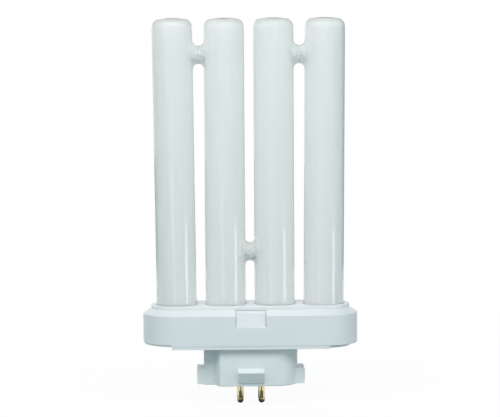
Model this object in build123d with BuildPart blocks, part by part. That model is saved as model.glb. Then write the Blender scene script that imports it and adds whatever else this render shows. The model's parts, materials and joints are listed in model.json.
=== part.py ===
from build123d import *
import math
import os

# Flat compact fluorescent lamp: a row of parallel glass limbs in a moulded holder, with a keyed
# plug block and four contact pins below. Millimetres and degrees. The origin is the centre of the
# plug block's bottom face, +X runs along the row of limbs, +Y to the rear and +Z up the limbs.

# Glass limbs and bridges
LIMB_COUNT = 4
TUBE_DIAMETER = 15.0
TUBE_GAP = 3.2
LIMB_HEIGHT = 106.2
LIMB_SPLAY = 0.5
TIP_REDUCTION = 0.15
TIP_TAPER_LENGTH = 8.0
TIP_CORNER_RADIUS = 3.0
TIP_CROWN = 0.4
BRIDGE_DIAMETER = 6.8
BRIDGE_FILLET = 1.9
BRIDGE_FILLET_SHARE = 0.48
UPPER_BRIDGE_DROP = 13.7
LOWER_BRIDGE_RISE = 19.5

# Glass inside the housing
GLASS_ENTRY = 5.6
DOME_DEPTH = 3.4
EXHAUST_STUB_DIAMETER = 3.2
EXHAUST_STUB_LENGTH = 2.0
PINCH_TAPER = 3.0
PINCH_HEIGHT = 3.0
PINCH_WIDTH = 13.4
PINCH_THICKNESS = 3.2
PINCH_CORNER_RADIUS = 1.2
LEAD_SPACING = 5.0

# Plug block
PLUG_HEIGHT = 14.0
PLUG_LENGTH = 34.8
PLUG_DEPTH = 20.8
PLUG_CORNER_RADIUS = 8.5
PLUG_WALL = 1.6
PLUG_FLOOR = 2.0
PLUG_EDGE_RADIUS = 0.3
KEY_LENGTH = 4.75
KEY_DEPTH = 11.5
KEY_STEP_RUN = 2.0
KEY_STEP_RADIUS = 0.8
WING_REACH = 2.6
WING_BOTTOM = 0.25
WING_HEIGHT = 5.7
WING_CORNER_RADIUS = 0.6
BARB_WIDTH = 9.6
BARB_REACH = 2.0
BARB_TOP = 6.6
BARB_EDGE_HEIGHT = 5.15
BARB_BOTTOM = 1.2
BARB_HEEL = 0.4

# Contact pins
PIN_DIAMETER = 2.35
PIN_LENGTH = 7.3
PIN_SHANK_DIAMETER = 2.8
PIN_SPACING_X = 7.92
PIN_SPACING_Y = 6.35
PIN_BORE_DIAMETER = 1.2
PIN_TIP_WALL = 1.2
PIN_FLANGE_DIAMETER = 3.6
PIN_FLANGE_HEIGHT = 0.8
PIN_CLEARANCE = 0.02
BOSS_DIAMETER = 4.6
BOSS_HEIGHT = 2.0
CRIMP_DROP = 4.2
CRIMP_HEIGHT = 3.0
CRIMP_WIDTH = 1.1
CRIMP_DEPTH = 0.6
CRIMP_CLEARANCE = 0.03

# Cover plate and snap tongues
PLATE_THICKNESS = 1.1
PLATE_INSET = 2.8
LIP_LENGTH = 58.4
SPIGOT_HEIGHT = 2.0
SPIGOT_WALL = 1.8
SNAP_CLEARANCE = 0.2
TONGUE_THICKNESS = 1.5
TONGUE_SIDE_GAP = 0.1
TONGUE_TOP_GAP = 0.1
HOOK_CLEARANCE = 0.05
HOOK_REACH = 1.3

# Tube holder
HOUSING_DEPTH = 25.0
SHELL_WALL = 1.6
WALL_HEIGHT = 11.3
SHOULDER_RISE = 1.8
SHOULDER_RUN = 3.0
SHOULDER_EDGE_RADIUS = 0.3
SEAM_EDGE_RADIUS = 0.25
END_EDGE_RADIUS = 1.0
RIM_HEIGHT = 1.4
RIM_WALL = 1.8
RIM_EDGE_RADIUS = 0.45
RIM_MOUTH_RADIUS = 0.3
RIM_LIP = 1.2
SOCKET_CLEARANCE = 0.2
SOCKET_DEPTH = 7.2
CEMENT_THICKNESS = 1.0
CEMENT_HEIGHT = 4.0
RIB_THICKNESS = 1.2
WINDOW_WIDTH = 11.1
WINDOW_SILL = 7.15
WINDOW_EDGE_RADIUS = 0.4

# Lead wires and sleeves
WIRE_DIAMETER = 0.5
WIRE_DROP = 1.7
WIRE_EXIT_RADIUS = 1.4
WIRE_TURN_RADIUS = 4.0
WIRE_TAIL = 5.0
SLEEVE_DIAMETER = 1.4
SLEEVE_CLEARANCE = 0.03
SLEEVE_START = 3.0

# Levels and places that follow from the sizes above
TUBE_RADIUS = TUBE_DIAMETER / 2
WALL_BOTTOM = PLUG_HEIGHT + PLATE_THICKNESS
WALL_TOP = WALL_BOTTOM + WALL_HEIGHT
SHOULDER_TOP = WALL_TOP + SHOULDER_RISE
RIM_TOP = SHOULDER_TOP + RIM_HEIGHT
SOCKET_BOTTOM = RIM_TOP - SOCKET_DEPTH
SOCKET_RADIUS = TUBE_RADIUS + SOCKET_CLEARANCE
RIM_RADIUS = SOCKET_RADIUS + RIM_WALL
POCKET_RADIUS = TUBE_RADIUS + CEMENT_THICKNESS
POCKET_TOP = RIM_TOP - RIM_LIP
TUBE_PITCH = TUBE_DIAMETER + TUBE_GAP
ROW_LENGTH = (LIMB_COUNT - 1) * TUBE_PITCH
HOUSING_FACE = HOUSING_DEPTH / 2
WALL_INNER_FACE = HOUSING_FACE - SHELL_WALL
SPIGOT_RADIUS = WALL_INNER_FACE - SNAP_CLEARANCE
WINDOW_BOTTOM = WALL_BOTTOM + WINDOW_SILL
WINDOW_DEPTH = SHELL_WALL + TONGUE_THICKNESS + 2 * SNAP_CLEARANCE
BLOCK_FACE = PLUG_DEPTH / 2
BOSS_TOP = PLUG_FLOOR + BOSS_HEIGHT
PIN_TOP = BOSS_TOP + PIN_FLANGE_HEIGHT
PIN_RADIUS = PIN_DIAMETER / 2
SHANK_RADIUS = PIN_SHANK_DIAMETER / 2
BORE_RADIUS = PIN_BORE_DIAMETER / 2

LIMB_X = [index * TUBE_PITCH - ROW_LENGTH / 2 for index in range(LIMB_COUNT)]
PIN_XY = [
    (side_x * PIN_SPACING_X / 2, side_y * PIN_SPACING_Y / 2)
    for side_x in (-1, 1)
    for side_y in (-1, 1)
]


def limb_plane(index):
    """The upright plane through a limb's axis, with its origin at the rim."""
    lean = 0.0
    if index == 0:
        lean = -math.radians(LIMB_SPLAY)
    if index == LIMB_COUNT - 1:
        lean = math.radians(LIMB_SPLAY)
    return Plane(
        origin=(LIMB_X[index], 0, RIM_TOP),
        x_dir=(math.cos(lean), 0, -math.sin(lean)),
        z_dir=(0, -1, 0),
    )


def cross_plane(index, height):
    """The plane square across a limb, at a height above the rim along the limb."""
    upright = limb_plane(index)
    axis = upright.y_dir
    return Plane(origin=upright.origin + axis * height, x_dir=upright.x_dir, z_dir=axis)


def is_end_limb(index):
    return index in (0, LIMB_COUNT - 1)


def axis_point(index, world_z):
    """The point of a limb's axis at a given level."""
    upright = limb_plane(index)
    return upright.origin + upright.y_dir * ((world_z - RIM_TOP) / upright.y_dir.Z)


# The sealed glass: drawn limbs with flattened, round-cornered tips
with BuildPart() as glass_tubes:
    tip_radius = (TUBE_DIAMETER - TIP_REDUCTION) / 2
    tip_flat = tip_radius - TIP_CORNER_RADIUS
    tip_shoulder = LIMB_HEIGHT - TIP_CROWN - TIP_CORNER_RADIUS
    crown_radius = (tip_flat**2 + TIP_CROWN**2) / (2 * TIP_CROWN)
    crown_angle = math.degrees(math.asin(tip_flat / crown_radius))
    for index in range(LIMB_COUNT):
        upright = limb_plane(index)
        with BuildSketch(upright):
            with BuildLine():
                side = Polyline(
                    (0, -GLASS_ENTRY),
                    (TUBE_RADIUS, -GLASS_ENTRY),
                    (TUBE_RADIUS, LIMB_HEIGHT - TIP_TAPER_LENGTH),
                    (tip_radius, tip_shoulder),
                )
                CenterArc((tip_flat, tip_shoulder), TIP_CORNER_RADIUS, 0, 90)
                crown = CenterArc(
                    (0, LIMB_HEIGHT - crown_radius), crown_radius, 90 - crown_angle, crown_angle
                )
                Line(crown @ 1, side @ 0)
            make_face()
        revolve(axis=Axis(upright.origin, upright.y_dir))

    # Round bridges between neighbours, high and low by turns
    for index in range(LIMB_COUNT - 1):
        is_upper = index % 2 == 0
        level = RIM_TOP + (LIMB_HEIGHT - UPPER_BRIDGE_DROP if is_upper else LOWER_BRIDGE_RISE)
        left = axis_point(index, level)
        right = axis_point(index + 1, level)
        with BuildSketch(Plane(origin=left, x_dir=(0, 1, 0), z_dir=(1, 0, 0))):
            Circle(BRIDGE_DIAMETER / 2)
        extrude(amount=right.X - left.X)
        bridge_edges = (
            glass_tubes.edges()
            .filter_by(lambda edge: left.X < edge.center().X < right.X)
            .filter_by_position(Axis.Z, level - BRIDGE_DIAMETER, level + BRIDGE_DIAMETER)
            .filter_by(GeomType.LINE, reverse=True)
        )
        gap = right.X - left.X - TUBE_DIAMETER
        fillet(bridge_edges, radius=min(BRIDGE_FILLET, BRIDGE_FILLET_SHARE * gap))

    for index in range(LIMB_COUNT):
        seal_plane = cross_plane(index, -GLASS_ENTRY)
        if is_end_limb(index):
            # The tube end softened and pinched flat round the lead wires
            with BuildSketch(seal_plane):
                Circle(TUBE_RADIUS)
            press_plane = cross_plane(index, -GLASS_ENTRY - PINCH_TAPER)
            with BuildSketch(press_plane):
                RectangleRounded(PINCH_THICKNESS, PINCH_WIDTH, PINCH_CORNER_RADIUS)
            loft()
            with BuildSketch(press_plane):
                RectangleRounded(PINCH_THICKNESS, PINCH_WIDTH, PINCH_CORNER_RADIUS)
            extrude(amount=-PINCH_HEIGHT)
        else:
            # A domed end with its tipped-off exhaust stub
            upright = limb_plane(index)
            stub_radius = EXHAUST_STUB_DIAMETER / 2
            stub_end = -GLASS_ENTRY - DOME_DEPTH - EXHAUST_STUB_LENGTH
            with BuildSketch(upright):
                with BuildLine():
                    dome = EllipticalCenterArc(
                        (0, -GLASS_ENTRY), TUBE_RADIUS, DOME_DEPTH, start_angle=270, arc_size=90
                    )
                    Line(dome @ 1, (0, -GLASS_ENTRY))
                    Line((0, -GLASS_ENTRY), dome @ 0)
                make_face()
            revolve(axis=Axis(upright.origin, upright.y_dir))
            with BuildSketch(upright):
                with BuildLine():
                    stub_top = -GLASS_ENTRY - DOME_DEPTH / 2
                    stub = Polyline(
                        (0, stub_top), (stub_radius, stub_top), (stub_radius, stub_end + stub_radius)
                    )
                    tip = CenterArc((0, stub_end + stub_radius), stub_radius, 0, -90)
                    Line(tip @ 1, (0, stub_top))
                make_face()
            revolve(axis=Axis(upright.origin, upright.y_dir))
glass_tubes.part.label = "glass_tubes"


# The upper moulding: a stadium-shaped shell with a bevelled shoulder
with BuildPart() as tube_holder:
    with BuildSketch(Plane.XY.offset(WALL_BOTTOM)):
        SlotCenterToCenter(ROW_LENGTH, HOUSING_DEPTH)
    extrude(amount=SHOULDER_TOP - WALL_BOTTOM)
    top_face = tube_holder.faces().sort_by(Axis.Z)[-1]
    chamfer(top_face.edges(), length=SHOULDER_RUN, length2=SHOULDER_RISE, reference=top_face)
    shoulder_edges = tube_holder.edges().filter_by_position(Axis.Z, WALL_TOP, WALL_TOP)
    fillet(shoulder_edges, radius=SHOULDER_EDGE_RADIUS)
    bottom_face = tube_holder.faces().sort_by(Axis.Z)[0]
    offset(amount=-SHELL_WALL, openings=bottom_face)

    # Fine round along the seam
    seam_edges = tube_holder.faces().sort_by(Axis.Z)[0].outer_wire().edges()
    fillet(seam_edges, radius=SEAM_EDGE_RADIUS)

    # Larger round on the left end's lower edge, turned from one lip's end to the other's
    half_turn = math.degrees(math.acos((LIP_LENGTH - ROW_LENGTH) / HOUSING_DEPTH))
    lip_end = math.radians(180 - half_turn)
    end_section = Plane(
        origin=(LIMB_X[0], 0, WALL_BOTTOM),
        x_dir=(math.cos(lip_end), math.sin(lip_end), 0),
        z_dir=(math.sin(lip_end), -math.cos(lip_end), 0),
    )
    with BuildSketch(end_section):
        with BuildLine():
            round_x = HOUSING_FACE - END_EDGE_RADIUS
            edge = CenterArc((round_x, END_EDGE_RADIUS), END_EDGE_RADIUS, -90, 90)
            Polyline(
                edge @ 1,
                (HOUSING_FACE + END_EDGE_RADIUS, END_EDGE_RADIUS),
                (HOUSING_FACE + END_EDGE_RADIUS, -END_EDGE_RADIUS),
                (round_x, -END_EDGE_RADIUS),
                edge @ 0,
            )
        make_face()
    end_axis = Axis((LIMB_X[0], 0, 0), (0, 0, 1))
    revolve(axis=end_axis, revolution_arc=2 * half_turn, mode=Mode.SUBTRACT)

    # Raised platform round the mouths
    with BuildSketch(Plane.XY.offset(SHOULDER_TOP - SHELL_WALL / 2)):
        SlotCenterToCenter(ROW_LENGTH, 2 * RIM_RADIUS)
    extrude(amount=SHELL_WALL / 2 + RIM_HEIGHT)
    fillet(tube_holder.faces().sort_by(Axis.Z)[-1].edges(), radius=RIM_EDGE_RADIUS)

    # Snap windows at the front and rear, open through the shoulder
    for side in (-1, 1):
        with BuildSketch(Plane.XY.offset(WINDOW_BOTTOM)):
            with Locations((0, side * (HOUSING_FACE - WINDOW_DEPTH / 2))):
                Rectangle(WINDOW_WIDTH, WINDOW_DEPTH)
        extrude(amount=SHOULDER_TOP - WINDOW_BOTTOM, mode=Mode.SUBTRACT)
        window_edges = (
            tube_holder.edges()
            .filter_by_position(Axis.Y, side * HOUSING_FACE, side * HOUSING_FACE)
            .filter_by_position(Axis.X, -WINDOW_WIDTH / 2, WINDOW_WIDTH / 2)
            .filter_by_position(Axis.Z, WINDOW_BOTTOM, WALL_TOP - SHOULDER_EDGE_RADIUS)
        )
        fillet(window_edges, radius=WINDOW_EDGE_RADIUS)

    # Sockets under the platform, one round each limb
    with BuildSketch(Plane.XY.offset(SOCKET_BOTTOM)):
        with Locations([(x, 0) for x in LIMB_X]):
            Circle(RIM_RADIUS)
    extrude(amount=SHOULDER_TOP - SOCKET_BOTTOM)

    # Ribs that tie the sockets to the front and rear walls
    with BuildSketch(Plane.XY.offset(SOCKET_BOTTOM)):
        for x in LIMB_X:
            with Locations((x, 0)):
                Rectangle(RIB_THICKNESS, 2 * (HOUSING_FACE - SHELL_WALL / 2))
    extrude(amount=WALL_TOP - SOCKET_BOTTOM)

    # Bores with a narrow mouth and a wider pocket for the cement
    with BuildSketch(Plane.XY.offset(SOCKET_BOTTOM)):
        with Locations([(x, 0) for x in LIMB_X]):
            Circle(POCKET_RADIUS)
    extrude(amount=POCKET_TOP - SOCKET_BOTTOM, mode=Mode.SUBTRACT)
    with BuildSketch(Plane.XY.offset(SOCKET_BOTTOM)):
        with Locations([(x, 0) for x in LIMB_X]):
            Circle(SOCKET_RADIUS)
    extrude(amount=SOCKET_DEPTH, mode=Mode.SUBTRACT)
    mouth_edges = (
        tube_holder.edges()
        .filter_by(GeomType.CIRCLE)
        .filter_by_position(Axis.Z, RIM_TOP, RIM_TOP)
        .filter_by(lambda edge: abs(edge.radius - SOCKET_RADIUS) < SOCKET_CLEARANCE / 2)
    )
    fillet(mouth_edges, radius=RIM_MOUTH_RADIUS)
tube_holder.part.label = "tube_holder"


# Basing cement between each limb and its socket
cement_rings = []
for index, x in enumerate(LIMB_X):
    with BuildPart() as cement_ring:
        with BuildSketch(Plane.XY.offset(POCKET_TOP - CEMENT_HEIGHT)):
            with Locations((x, 0)):
                Circle(POCKET_RADIUS)
        extrude(amount=CEMENT_HEIGHT)
        add(glass_tubes.part, mode=Mode.SUBTRACT)
    cement_ring.part.label = f"cement_ring_{index + 1}"
    cement_rings.append(cement_ring.part)


def plug_outline():
    """The plug block in plan: narrow key end on the left, large round corners on the right."""
    half_length = PLUG_LENGTH / 2
    half_depth = PLUG_DEPTH / 2
    key_half_depth = KEY_DEPTH / 2
    step_start = KEY_LENGTH - half_length - KEY_STEP_RUN / 2
    step_end = step_start + KEY_STEP_RUN
    corner_x = half_length - PLUG_CORNER_RADIUS
    with BuildSketch() as outline:
        with BuildLine():
            Polyline(
                (corner_x, -half_depth),
                (step_end, -half_depth),
                (step_start, -key_half_depth),
                (-half_length, -key_half_depth),
                (-half_length, key_half_depth),
                (step_start, key_half_depth),
                (step_end, half_depth),
                (corner_x, half_depth),
            )
            rear_corner = CenterArc(
                (corner_x, half_depth - PLUG_CORNER_RADIUS), PLUG_CORNER_RADIUS, 90, -90
            )
            front_corner = CenterArc(
                (corner_x, PLUG_CORNER_RADIUS - half_depth), PLUG_CORNER_RADIUS, 0, -90
            )
            Line(rear_corner @ 1, front_corner @ 0)
        make_face()
        step_corners = outline.vertices().filter_by_position(Axis.X, step_start, step_end)
        fillet(step_corners, radius=KEY_STEP_RADIUS)
    return outline.sketch


# The lower moulding: cover plate, hollow plug block and snap tongues
with BuildPart() as base_cover:
    with BuildSketch():
        add(plug_outline())
    extrude(amount=PLUG_HEIGHT)
    fillet(base_cover.faces().sort_by(Axis.Z)[0].edges(), radius=PLUG_EDGE_RADIUS)

    # Wings at both ends of the block
    with BuildSketch(Plane.XZ.offset(-KEY_DEPTH / 2)):
        with Locations((0, WING_BOTTOM + WING_HEIGHT / 2)):
            RectangleRounded(PLUG_LENGTH + 2 * WING_REACH, WING_HEIGHT, WING_CORNER_RADIUS)
    extrude(amount=KEY_DEPTH)

    # Retention barbs on the front and rear faces
    for side in (-1, 1):
        with BuildSketch(Plane.YZ.offset(-BARB_WIDTH / 2)):
            with BuildLine():
                Polyline(
                    (side * (BLOCK_FACE - PLUG_WALL), BARB_TOP),
                    (side * BLOCK_FACE, BARB_TOP),
                    (side * (BLOCK_FACE + BARB_REACH), BARB_EDGE_HEIGHT),
                    (side * (BLOCK_FACE + BARB_HEEL), BARB_BOTTOM),
                    (side * (BLOCK_FACE - PLUG_WALL), BARB_BOTTOM),
                    close=True,
                )
            make_face()
        extrude(amount=BARB_WIDTH)

    # Plate under the shell: flush along the lips, inset at the right end
    with BuildSketch(Plane.XY.offset(PLUG_HEIGHT)):
        SlotCenterToCenter(ROW_LENGTH, HOUSING_DEPTH)
        Rectangle(LIP_LENGTH, HOUSING_DEPTH, mode=Mode.INTERSECT)
        with Locations((LIMB_X[-1], 0)):
            Circle(HOUSING_FACE - PLATE_INSET)
    extrude(amount=PLATE_THICKNESS)

    # At the left end the plate steps up into the shell, over the lips' ends
    with BuildSketch(Plane.XY.offset(WALL_BOTTOM)):
        with Locations((LIMB_X[0], 0)):
            Circle(SPIGOT_RADIUS)
        Rectangle(LIP_LENGTH - 2 * PLATE_THICKNESS, HOUSING_DEPTH, mode=Mode.SUBTRACT)
    extrude(amount=PLATE_THICKNESS)

    # Upstanding spigot that centres the cover inside the shell wall
    with BuildSketch(Plane.XY.offset(WALL_BOTTOM)):
        SlotCenterToCenter(ROW_LENGTH, 2 * SPIGOT_RADIUS)
        SlotCenterToCenter(ROW_LENGTH, 2 * (SPIGOT_RADIUS - SPIGOT_WALL), mode=Mode.SUBTRACT)
    extrude(amount=SPIGOT_HEIGHT)

    # Hollow inside of the plug block, open into the shell
    with BuildSketch(Plane.XY.offset(PLUG_FLOOR)):
        add(plug_outline())
        offset(amount=-PLUG_WALL)
    extrude(amount=WALL_BOTTOM - PLUG_FLOOR, mode=Mode.SUBTRACT)

    # Bosses that carry the pins
    with BuildSketch(Plane.XY.offset(PLUG_FLOOR / 2)):
        with Locations(PIN_XY):
            Circle(BOSS_DIAMETER / 2)
    extrude(amount=BOSS_TOP - PLUG_FLOOR / 2)
    with Locations([(x, y, 0) for x, y in PIN_XY]):
        Hole(radius=SHANK_RADIUS + PIN_CLEARANCE)

    # Snap tongues, hooked over each window's sill and tapering up to a bevel along the shoulder
    tongue_face = SPIGOT_RADIUS
    hook_bottom = WINDOW_BOTTOM + HOOK_CLEARANCE
    tongue_top = SHOULDER_TOP - TONGUE_TOP_GAP
    bevel_bottom = tongue_top - SHOULDER_RISE * TONGUE_THICKNESS / SHOULDER_RUN
    for side in (-1, 1):
        with BuildSketch(Plane.YZ.offset(-WINDOW_WIDTH / 2 + TONGUE_SIDE_GAP)):
            with BuildLine():
                Polyline(
                    (side * (tongue_face - TONGUE_THICKNESS), WALL_BOTTOM - PLATE_THICKNESS / 2),
                    (side * tongue_face, WALL_BOTTOM - PLATE_THICKNESS / 2),
                    (side * tongue_face, hook_bottom),
                    (side * (tongue_face + HOOK_REACH), hook_bottom),
                    (side * tongue_face, bevel_bottom),
                    (side * (tongue_face - TONGUE_THICKNESS), tongue_top),
                    close=True,
                )
            make_face()
        extrude(amount=WINDOW_WIDTH - 2 * TONGUE_SIDE_GAP)
    # Their sides stay clear of the sockets
    with BuildSketch(Plane.XY.offset(SOCKET_BOTTOM - SNAP_CLEARANCE)):
        with Locations([(x, 0) for x in LIMB_X]):
            Circle(RIM_RADIUS + SNAP_CLEARANCE)
    extrude(amount=tongue_top - SOCKET_BOTTOM + SNAP_CLEARANCE, mode=Mode.SUBTRACT)
base_cover.part.label = "base_cover"


# Hollow brass pins: a flanged shank in the boss, a round tip, and a crimp dent on the outer side
contact_pins = []
for number, (x, y) in enumerate(PIN_XY, start=1):
    with BuildPart() as contact_pin:
        with BuildSketch(Plane.XZ.offset(-y)):
            with BuildLine():
                body = Polyline(
                    (x, PIN_TOP),
                    (x + PIN_FLANGE_DIAMETER / 2, PIN_TOP),
                    (x + PIN_FLANGE_DIAMETER / 2, BOSS_TOP),
                    (x + SHANK_RADIUS, BOSS_TOP),
                    (x + SHANK_RADIUS, 0),
                    (x + PIN_RADIUS, 0),
                    (x + PIN_RADIUS, PIN_RADIUS - PIN_LENGTH),
                )
                tip = CenterArc((x, PIN_RADIUS - PIN_LENGTH), PIN_RADIUS, 0, -90)
                Line(tip @ 1, (x, PIN_TOP))
            make_face()
        revolve(axis=Axis((x, y, 0), (0, 0, 1)))
        with BuildSketch(Plane.XY.offset(PIN_TIP_WALL - PIN_LENGTH)):
            with Locations((x, y)):
                Circle(BORE_RADIUS)
        extrude(amount=PIN_TOP + PIN_LENGTH, mode=Mode.SUBTRACT)
        # The punched dent presses the bore's outer wall past the middle, on to the lead wire
        inward = -math.copysign(1, y)
        wire_room = WIRE_DIAMETER + 2 * CRIMP_CLEARANCE
        with BuildSketch(Plane.XY.offset(-CRIMP_DROP - CRIMP_HEIGHT / 2)):
            with Locations((x, y)):
                Circle(BORE_RADIUS)
            with Locations((x, y + inward * (BORE_RADIUS - wire_room / 2))):
                Rectangle(PIN_BORE_DIAMETER, wire_room, mode=Mode.SUBTRACT)
        extrude(amount=CRIMP_HEIGHT)
        with BuildSketch(Plane.XY.offset(-CRIMP_DROP - CRIMP_HEIGHT / 2)):
            with Locations((x, y - inward * PIN_RADIUS)):
                Rectangle(CRIMP_WIDTH, 2 * CRIMP_DEPTH)
        extrude(amount=CRIMP_HEIGHT, mode=Mode.SUBTRACT)
    contact_pin.part.label = f"contact_pin_{number}"
    contact_pins.append(contact_pin.part)


def lead_route(number):
    """Corner points of a lead wire: out of the pinch, along the cover plate, down into its pin."""
    pin_x, pin_y = PIN_XY[number - 1]
    wire_y = pin_y - math.copysign(BORE_RADIUS - CRIMP_CLEARANCE - WIRE_DIAMETER / 2, pin_y)
    index = 0 if pin_x < 0 else LIMB_COUNT - 1
    pinch = cross_plane(index, -GLASS_ENTRY - PINCH_TAPER - PINCH_HEIGHT)
    lead_y = math.copysign(LEAD_SPACING / 2, pin_y)
    start = pinch.origin + Vector(0, lead_y, 0)
    below = start - pinch.z_dir * WIRE_DROP
    above_pin = Vector(pin_x, wire_y, below.Z)
    end = Vector(pin_x, wire_y, -WIRE_TAIL)
    return start, below, above_pin, end


lead_wires = []
wire_sleeves = []
for number in range(1, len(PIN_XY) + 1):
    start, below, above_pin, end = lead_route(number)
    with BuildPart() as lead_wire:
        with BuildLine() as wire_path:
            FilletPolyline(
                start, below, above_pin, end, radius=[WIRE_EXIT_RADIUS, WIRE_TURN_RADIUS]
            )
        with BuildSketch(Plane(origin=wire_path.line @ 0, z_dir=wire_path.line % 0)):
            Circle(WIRE_DIAMETER / 2)
        sweep(path=wire_path.line)
    lead_wire.part.label = f"lead_wire_{number}"
    lead_wires.append(lead_wire.part)

    # The sleeve covers the wire from past its first bend down to the pin's flange
    along = (above_pin - below).normalized()
    sleeve_start = below + along * SLEEVE_START
    sleeve_end = Vector(above_pin.X, above_pin.Y, PIN_TOP)
    with BuildPart() as wire_sleeve:
        with BuildLine() as sleeve_path:
            FilletPolyline(sleeve_start, above_pin, sleeve_end, radius=WIRE_TURN_RADIUS)
        with BuildSketch(Plane(origin=sleeve_path.line @ 0, z_dir=sleeve_path.line % 0)):
            Circle(SLEEVE_DIAMETER / 2)
            Circle(WIRE_DIAMETER / 2 + SLEEVE_CLEARANCE, mode=Mode.SUBTRACT)
        sweep(path=sleeve_path.line)
    wire_sleeve.part.label = f"wire_sleeve_{number}"
    wire_sleeves.append(wire_sleeve.part)


os.makedirs("parts", exist_ok=True)
export_step(glass_tubes.part, "parts/glass_tubes.step")
export_step(tube_holder.part, "parts/tube_holder.step")
export_step(base_cover.part, "parts/base_cover.step")
for piece in cement_rings + contact_pins + lead_wires + wire_sleeves:
    export_step(piece, f"parts/{piece.label}.step")
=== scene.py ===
import json
import math

import bpy
from mathutils import Matrix, Vector


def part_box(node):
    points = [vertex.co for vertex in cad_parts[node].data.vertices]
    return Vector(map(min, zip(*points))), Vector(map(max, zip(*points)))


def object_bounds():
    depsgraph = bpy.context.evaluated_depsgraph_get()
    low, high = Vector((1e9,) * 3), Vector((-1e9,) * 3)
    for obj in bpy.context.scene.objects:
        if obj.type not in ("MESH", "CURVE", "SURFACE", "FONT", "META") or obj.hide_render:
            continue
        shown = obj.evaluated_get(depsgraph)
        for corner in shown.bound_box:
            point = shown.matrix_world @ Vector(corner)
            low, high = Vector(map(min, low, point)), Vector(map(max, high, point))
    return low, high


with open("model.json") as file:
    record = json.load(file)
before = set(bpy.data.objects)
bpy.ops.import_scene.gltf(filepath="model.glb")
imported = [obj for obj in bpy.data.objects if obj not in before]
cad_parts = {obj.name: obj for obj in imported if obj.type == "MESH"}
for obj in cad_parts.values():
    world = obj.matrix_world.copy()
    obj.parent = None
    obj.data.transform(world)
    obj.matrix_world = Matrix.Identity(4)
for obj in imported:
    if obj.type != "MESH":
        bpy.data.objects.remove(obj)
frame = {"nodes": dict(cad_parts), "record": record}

CAD_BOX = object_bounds()

# Flat compact fluorescent lamp, dressed for a studio photograph. Lengths are in metres, so sizes in
# millimetres are written times MM.
MM = 0.001
WHITE = (1, 1, 1, 1)

# Camera, fitted to the photograph's edges. Pixels are those of a picture 500 wide.
PHOTO_WIDTH = 500
SENSOR_WIDTH = 36.0
FOCAL_PIXELS = 2637.1
AIM_POINT = Vector((0, 0, 65)) * MM
AIM_PIXEL_X = 249.6
CAMERA_DISTANCE = 978.05 * MM
CAMERA_PITCH = math.radians(5.455)
CAMERA_YAW = math.radians(1.164)
CAMERA_ROLL = math.radians(-0.381)
NEAREST_SEEN = CAMERA_DISTANCE / 100

# Floor: its size, the colour of the light that it throws back, and the paint that takes the lamp's
# shadow. The shadow shows most under the lamp and fades out with distance.
FLOOR_SIZE = 60.0
FLOOR_BOUNCE = (0.235, 0.34, 0.355, 1)
FLOOR_PAINT = (0.85, 0.86, 0.86, 1)
SHADOW_SHARE = 0.06
SHADOW_REACH = (60 * MM, 260 * MM)

# The patch under the pins that reflections see dark: half its size across and front to back, and the
# multiples of that size between which it fades out
PIN_SHADE_HALF_SIZE = (9 * MM, 60 * MM)
PIN_SHADE_FADE = (1, 2)
PIN_SHADE = (0.10, 0.09, 0.06, 1)

# The even light from all round
WORLD_FILL = 0.15
WORLD_TINT = (0.66, 0.96, 1, 1)

# Lights: name, position, size across and up, power in watts, shown in reflections or not. All are
# aimed at the middle of the lamp.
LIGHTS = (
    ("key_bank", Vector((-35, -640, 730)) * MM, 3200 * MM, 400 * MM, 12.7, False),
    ("low_bank", Vector((-35, -890, 300)) * MM, 3200 * MM, 300 * MM, 1.8, False),
    ("back_bank", Vector((-60, 700, 300)) * MM, 2000 * MM, 500 * MM, 8.4, False),
    ("glint_lamp", Vector((-110, -400, 710)) * MM, 80 * MM, 80 * MM, 0.8, True),
    ("right_strip", Vector((176, -107, 18)) * MM, 50 * MM, 40 * MM, 0.024, True),
    ("left_strip", Vector((-72, -193, 38)) * MM, 24 * MM, 84 * MM, 0.012, True),
)

# Cards darker than the studio, which only reflections see and which draw the edges of the glass:
# name, position, size across and up, and level from black to white. All face the middle of the lamp.
FLAGS = (
    ("left_flag", Vector((-290, 300, -10)) * MM, 300 * MM, 120 * MM, 0.08),
    ("right_flag", Vector((290, 300, 60)) * MM, 300 * MM, 500 * MM, 0.08),
    ("top_flag", Vector((0, 900, 1300)) * MM, 6000 * MM, 2600 * MM, 0.3),
)

# The fused joins between the limbs: how far they lie below the tips and above the holder. The coat
# is thinnest inside the core, a little above each join's middle, and whole again at the reach.
TUBE_PITCH = 18.2 * MM
UPPER_BRIDGE_DROP = 13.7 * MM
LOWER_BRIDGE_RISE = 19.5 * MM
THIN_COAT_LIFT = 0.8 * MM
THIN_COAT_CORE = 1.8 * MM
THIN_COAT_REACH = 5.0 * MM

# Painted shade on the coat: greyer toward the base, whitening up the limbs between two heights, and
# grey over the last stretch of the tips, whose rounding faces up into the light
BASE_SHADE_REACH = (30 * MM, 118 * MM)
TIP_SHADE_REACH = 3.2 * MM


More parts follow.
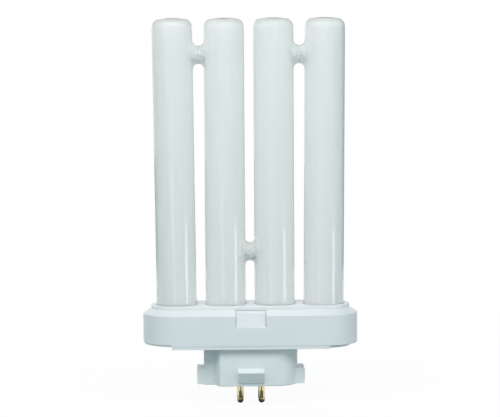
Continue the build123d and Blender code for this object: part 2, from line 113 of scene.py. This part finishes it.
def photo_camera():
    """The camera at the photograph's place, angle and lens."""
    forward = Vector((
        math.sin(CAMERA_YAW) * math.cos(CAMERA_PITCH),
        math.cos(CAMERA_YAW) * math.cos(CAMERA_PITCH),
        -math.sin(CAMERA_PITCH),
    ))
    level_right = Vector((math.cos(CAMERA_YAW), -math.sin(CAMERA_YAW), 0))
    level_up = level_right.cross(forward)
    right = level_right * math.cos(CAMERA_ROLL) + level_up * math.sin(CAMERA_ROLL)
    up = level_up * math.cos(CAMERA_ROLL) - level_right * math.sin(CAMERA_ROLL)
    aim_ray = forward + right * ((AIM_PIXEL_X - PHOTO_WIDTH / 2) / FOCAL_PIXELS)
    data = bpy.data.cameras.new("photo_camera")
    data.sensor_width = SENSOR_WIDTH
    data.lens = FOCAL_PIXELS * SENSOR_WIDTH / PHOTO_WIDTH
    data.clip_start = NEAREST_SEEN
    data.clip_end = FLOOR_SIZE * 2
    camera = bpy.data.objects.new("photo_camera", data)
    axes = Matrix((right, up, -forward)).transposed().to_4x4()
    camera.matrix_world = Matrix.Translation(AIM_POINT - aim_ray * CAMERA_DISTANCE) @ axes
    bpy.context.scene.collection.objects.link(camera)
    bpy.context.scene.camera = camera


def area_light(name, position, across, height, power, in_reflections):
    """A rectangular light, aimed at the middle of the lamp."""
    data = bpy.data.lights.new(name, "AREA")
    data.shape = "RECTANGLE"
    data.size = across
    data.size_y = height
    data.energy = power
    light = bpy.data.objects.new(name, data)
    light.location = position
    light.rotation_euler = (AIM_POINT - position).to_track_quat("-Z", "Y").to_euler()
    light.visible_camera = False
    light.visible_glossy = in_reflections
    bpy.context.scene.collection.objects.link(light)


class Graph:
    """A node tree at hand, with the few node groups that the studio and the finishes share."""

    def __init__(self, tree):
        self.nodes = tree.nodes
        self.links = tree.links

    def fill(self, socket, value):
        """A plain value or another node's output into a socket."""
        if isinstance(value, bpy.types.NodeSocket):
            self.links.new(value, socket)
        else:
            socket.default_value = value

    def math(self, operation, *values):
        """One step of arithmetic on plain values or other nodes' outputs."""
        node = self.nodes.new("ShaderNodeMath")
        node.operation = operation
        for socket, value in zip(node.inputs, values):
            self.fill(socket, value)
        return node.outputs[0]

    def span(self, value, low, high, source=(0, 1)):
        """A value mapped from its source range on to low to high."""
        node = self.nodes.new("ShaderNodeMapRange")
        node.inputs["From Min"].default_value = source[0]
        node.inputs["From Max"].default_value = source[1]
        node.inputs["To Min"].default_value = low
        node.inputs["To Max"].default_value = high
        self.fill(node.inputs["Value"], value)
        return node.outputs[0]

    def blend(self, factor, first, second):
        """Two colours mixed by a factor."""
        node = self.nodes.new("ShaderNodeMix")
        node.data_type = "RGBA"
        colour_inputs = [socket for socket in node.inputs if socket.type == "RGBA"]
        self.fill(node.inputs["Factor"], factor)
        self.fill(colour_inputs[0], first)
        self.fill(colour_inputs[1], second)
        return next(socket for socket in node.outputs if socket.type == "RGBA")

    def place(self, scale=(1, 1, 1), centre=(0, 0, 0)):
        """Object coordinates from a centre, scaled along each axis."""
        coordinates = self.nodes.new("ShaderNodeTexCoord").outputs["Object"]
        mapping = self.nodes.new("ShaderNodeMapping")
        mapping.inputs["Location"].default_value = [-c * s for c, s in zip(centre, scale)]
        mapping.inputs["Scale"].default_value = scale
        self.links.new(coordinates, mapping.inputs["Vector"])
        return mapping.outputs[0]

    def distance(self, scale=(1, 1, 1), centre=(0, 0, 0)):
        """How far a point lies from a centre, each axis scaled first."""
        node = self.nodes.new("ShaderNodeVectorMath")
        node.operation = "LENGTH"
        self.links.new(self.place(scale, centre), node.inputs[0])
        return node.outputs["Value"]

    def height(self):
        """How far a point lies above the origin."""
        node = self.nodes.new("ShaderNodeSeparateXYZ")
        self.links.new(self.place(), node.inputs[0])
        return node.outputs["Z"]

    def noise(self, scale, detail, stretch=(1, 1, 1)):
        """Noise in object coordinates. A stretch below 1 draws it out along that axis."""
        texture = self.nodes.new("ShaderNodeTexNoise")
        texture.inputs["Scale"].default_value = scale
        texture.inputs["Detail"].default_value = detail
        self.links.new(self.place(stretch), texture.inputs["Vector"])
        return texture.outputs["Fac"]

    def glow(self, colour, strength=1):
        """A plain surface that shows one level, whatever lights it."""
        node = self.nodes.new("ShaderNodeEmission")
        node.inputs["Color"].default_value = colour
        node.inputs["Strength"].default_value = strength
        return node.outputs[0]

    def mix_shaders(self, factor, first, second):
        """Two surfaces mixed by a factor."""
        node = self.nodes.new("ShaderNodeMixShader")
        self.fill(node.inputs["Fac"], factor)
        self.links.new(first, node.inputs[1])
        self.links.new(second, node.inputs[2])
        return node.outputs[0]


class NewMaterial(Graph):
    """A new material and its node tree."""

    def __init__(self, name):
        self.material = bpy.data.materials.new(name)
        self.material.use_nodes = True
        super().__init__(self.material.node_tree)


class Finish(NewMaterial):
    """A piece's material with its shader at hand."""

    def __init__(self, name):
        super().__init__(name)
        self.shader = self.nodes["Principled BSDF"]

    def set(self, **values):
        """Shader inputs by name, with underscores for their spaces."""
        for key, value in values.items():
            self.fill(self.shader.inputs[key.replace("_", " ")], value)

    def bump(self, height, depth):
        """Relief on the surface and on the clear coat over it."""
        node = self.nodes.new("ShaderNodeBump")
        node.inputs["Distance"].default_value = depth
        self.fill(node.inputs["Height"], height)
        for socket in ("Normal", "Coat Normal"):
            self.fill(self.shader.inputs[socket], node.outputs[0])


class StageMaterial(NewMaterial):
    """A material of the studio, which shows only the surface that it is given."""

    def show(self, surface):
        self.nodes.remove(self.nodes["Principled BSDF"])
        self.fill(self.nodes["Material Output"].inputs["Surface"], surface)
        return self.material


def flat_panel(name, across, length, material, z=0):
    """A level rectangle round the origin, at a height z."""
    mesh = bpy.data.meshes.new(name)
    right, up = across / 2, length / 2
    corners = [(-right, -up, z), (right, -up, z), (right, up, z), (-right, up, z)]
    mesh.from_pydata(corners, [], [(0, 1, 2, 3)])
    mesh.materials.append(material)
    panel = bpy.data.objects.new(name, mesh)
    bpy.context.scene.collection.objects.link(panel)
    return panel


def reflected_flag(name, position, across, height, level):
    """A card that only reflections see, facing the middle of the lamp."""
    card = StageMaterial(name)
    flag = flat_panel(name, across, height, card.show(card.glow(WHITE, level)))
    flag.location = position
    flag.rotation_euler = (AIM_POINT - position).to_track_quat("Z", "Y").to_euler()
    flag.visible_camera = False
    flag.visible_diffuse = False
    flag.visible_transmission = False
    flag.visible_shadow = False


def studio_world():
    """White to look at, a softer even fill as light."""
    world = bpy.data.worlds.new("studio")
    world.use_nodes = True
    graph = Graph(world.node_tree)
    rays = graph.nodes.new("ShaderNodeLightPath").outputs
    seen = graph.math("MAXIMUM", rays["Is Glossy Ray"], rays["Is Transmission Ray"])
    seen = graph.math("MAXIMUM", rays["Is Camera Ray"], seen)
    background = graph.nodes["Background"]
    graph.fill(background.inputs["Color"], graph.blend(seen, WORLD_TINT, WHITE))
    graph.fill(background.inputs["Strength"], graph.span(seen, WORLD_FILL, 1))
    bpy.context.scene.world = world


def studio_floor():
    """A pale floor under the pins: white to look at, with a faint shadow round the lamp. Reflections
    see it shaded close to the pins."""
    ground = StageMaterial("pale_floor")
    rays = ground.nodes.new("ShaderNodeLightPath").outputs
    paint = ground.nodes.new("ShaderNodeBsdfDiffuse")
    colour = ground.blend(rays["Is Camera Ray"], FLOOR_BOUNCE, FLOOR_PAINT)
    ground.fill(paint.inputs["Color"], ground.blend(rays["Is Glossy Ray"], colour, PIN_SHADE))
    looked_at = ground.span(ground.distance(), 1 - SHADOW_SHARE, 1, source=SHADOW_REACH)
    from_pins = ground.distance([1 / size for size in PIN_SHADE_HALF_SIZE] + [0])
    mirrored = ground.span(from_pins, 0, 1, source=PIN_SHADE_FADE)
    white = ground.math("MULTIPLY", rays["Is Camera Ray"], looked_at)
    white = ground.math("MULTIPLY_ADD", rays["Is Glossy Ray"], mirrored, white)
    white = ground.math("ADD", rays["Is Transmission Ray"], white)
    material = ground.show(ground.mix_shaders(white, paint.outputs[0], ground.glow(WHITE)))
    floor = flat_panel("floor", FLOOR_SIZE, FLOOR_SIZE, material, z=CAD_BOX[0].z)


def thin_coat_centres():
    """The thin coat's middle in the two joins near the tips and in the one above the base."""
    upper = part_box("glass_tubes")[1].z - UPPER_BRIDGE_DROP + THIN_COAT_LIFT
    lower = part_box("tube_holder")[1].z + LOWER_BRIDGE_RISE + THIN_COAT_LIFT
    return ((-TUBE_PITCH, 0, upper), (TUBE_PITCH, 0, upper), (0, 0, lower))


def phosphor_glass():
    """Clear glossy glass over a white phosphor coat with a slight flow pattern. The coat scatters
    light. Painted shade greys it toward the base and over the upward-facing rounding of the tips.
    The coat is thin and wrinkled in the fused joins."""
    bluish_white = (0.828, 0.826, 0.82, 1)
    warm_white = (0.852, 0.846, 0.836, 1)
    cloudy_grey = (0.798, 0.806, 0.803, 1)
    # The next two greys are painted shade, toward the base and over the tips
    base_shade_grey = (0.765, 0.77, 0.765, 1)
    tip_shade_grey = (0.63, 0.64, 0.635, 1)
    thin_grey = (0.735, 0.765, 0.755, 1)
    finish = Finish("phosphor_glass")
    finish.set(
        Roughness=0.55, Specular_IOR_Level=0.2,
        Coat_Weight=1.0, Coat_Roughness=0.08, Coat_IOR=1.5, Coat_Tint=(0.985, 1, 0.995, 1),
        Subsurface_Weight=1.0, Subsurface_Radius=(1, 1, 1), Subsurface_Scale=9 * MM,
    )
    streaks = finish.noise(scale=900, detail=2, stretch=(1, 1, 0.03))
    runs = finish.span(streaks, 0, 1, source=(0.3, 0.7))
    mottle = finish.span(finish.noise(scale=160, detail=4), 0, 0.35, source=(0.35, 0.7))
    # Painted shade: greyer toward the base and over the last stretch of the tips
    painted_base_shade = finish.span(finish.height(), 1, 0, source=BASE_SHADE_REACH)
    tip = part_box("glass_tubes")[1].z
    painted_tip_shade = finish.span(finish.height(), 0, 1, source=(tip - TIP_SHADE_REACH, tip))
    fused = 0
    for centre in thin_coat_centres():
        distance = finish.distance(scale=(1, 0.3, 1), centre=centre)
        near = finish.span(distance, 1, 0, source=(THIN_COAT_CORE, THIN_COAT_REACH))
        fused = finish.math("ADD", near, fused)
    folds = finish.noise(scale=850, detail=2, stretch=(1, 1, 0.5))
    thin = finish.math("MULTIPLY", fused, finish.span(folds, 0.3, 0.9, source=(0.3, 0.7)))
    coat = finish.blend(runs, bluish_white, warm_white)
    coat = finish.blend(mottle, coat, cloudy_grey)
    # Painted shade toward the base and over the tips
    coat = finish.blend(painted_base_shade, coat, base_shade_grey)
    coat = finish.blend(painted_tip_shade, coat, tip_shade_grey)
    coat = finish.blend(thin, coat, thin_grey)
    finish.set(Base_Color=coat)
    finish.bump(finish.math("MULTIPLY", fused, folds), depth=2.0 * MM)
    return finish.material


def white_plastic():
    """Satin moulded plastic, slightly blue grey."""
    shaded, plain = (0.765, 0.80, 0.812, 1), (0.778, 0.81, 0.822, 1)
    finish = Finish("white_plastic")
    cloud = finish.span(finish.noise(scale=90, detail=3), 0, 1, source=(0.35, 0.65))
    grain = finish.noise(scale=5200, detail=2)
    colour = finish.blend(cloud, shaded, plain)
    finish.set(Base_Color=colour, Roughness=finish.span(grain, 0.36, 0.46), Specular_IOR_Level=0.45)
    finish.bump(grain, depth=0.01 * MM)
    return finish.material


def basing_cement():
    """Matt set cement with fine grains."""
    dark_grain, light_grain = (0.70, 0.69, 0.65, 1), (0.80, 0.79, 0.75, 1)
    finish = Finish("basing_cement")
    grain = finish.noise(scale=4200, detail=5)
    colour = finish.blend(finish.span(grain, 0, 1, source=(0.3, 0.7)), dark_grain, light_grain)
    finish.set(Base_Color=colour, Roughness=0.9, Specular_IOR_Level=0.2)
    finish.bump(grain, depth=0.05 * MM)
    return finish.material


def brass():
    """Pale drawn brass, with fine lines along the pin and a light tarnish."""
    bright, tarnished = (0.79, 0.75, 0.49, 1), (0.64, 0.59, 0.35, 1)
    finish = Finish("brass")
    lines = finish.noise(scale=9000, detail=2, stretch=(1, 1, 0.05))
    tarnish = finish.span(finish.noise(scale=500, detail=2), 0, 1, source=(0.35, 0.7))
    colour = finish.blend(tarnish, bright, tarnished)
    finish.set(Base_Color=colour, Metallic=1.0, Roughness=finish.span(lines, 0.12, 0.22))
    finish.bump(lines, depth=0.002 * MM)
    return finish.material


def nickel_wire():
    """Bright drawn nickel wire."""
    dull, bright = (0.62, 0.60, 0.56, 1), (0.70, 0.69, 0.66, 1)
    finish = Finish("nickel_wire")
    lines = finish.noise(scale=7000, detail=2)
    colour = finish.blend(lines, dull, bright)
    finish.set(Base_Color=colour, Metallic=1.0, Roughness=finish.span(lines, 0.2, 0.35))
    return finish.material


def sleeve_silicone():
    """Matt milky silicone sleeving."""
    cloudy, milky = (0.74, 0.74, 0.71, 1), (0.81, 0.81, 0.79, 1)
    finish = Finish("sleeve_silicone")
    cloud = finish.noise(scale=1500, detail=3)
    colour = finish.blend(cloud, cloudy, milky)
    finish.set(Base_Color=colour, Roughness=finish.span(cloud, 0.5, 0.65), Specular_IOR_Level=0.3)
    return finish.material


def dress_nodes():
    """Every CAD node takes the finish that the record's material slot names."""
    finishes = {
        "phosphor_glass": phosphor_glass(),
        "white_plastic": white_plastic(),
        "basing_cement": basing_cement(),
        "brass": brass(),
        "nickel_wire": nickel_wire(),
        "sleeve_silicone": sleeve_silicone(),
    }
    slots = {part["node"]: part["material_slot"] for part in frame["record"]["subparts"]}
    for name, node in frame["nodes"].items():
        node.data.materials.clear()
        node.data.materials.append(finishes[slots[name]])


photo_camera()
studio_world()
studio_floor()
for light in LIGHTS:
    area_light(*light)
for flag in FLAGS:
    reflected_flag(*flag)
dress_nodes()

bpy.context.scene.view_settings.view_transform = "Standard"
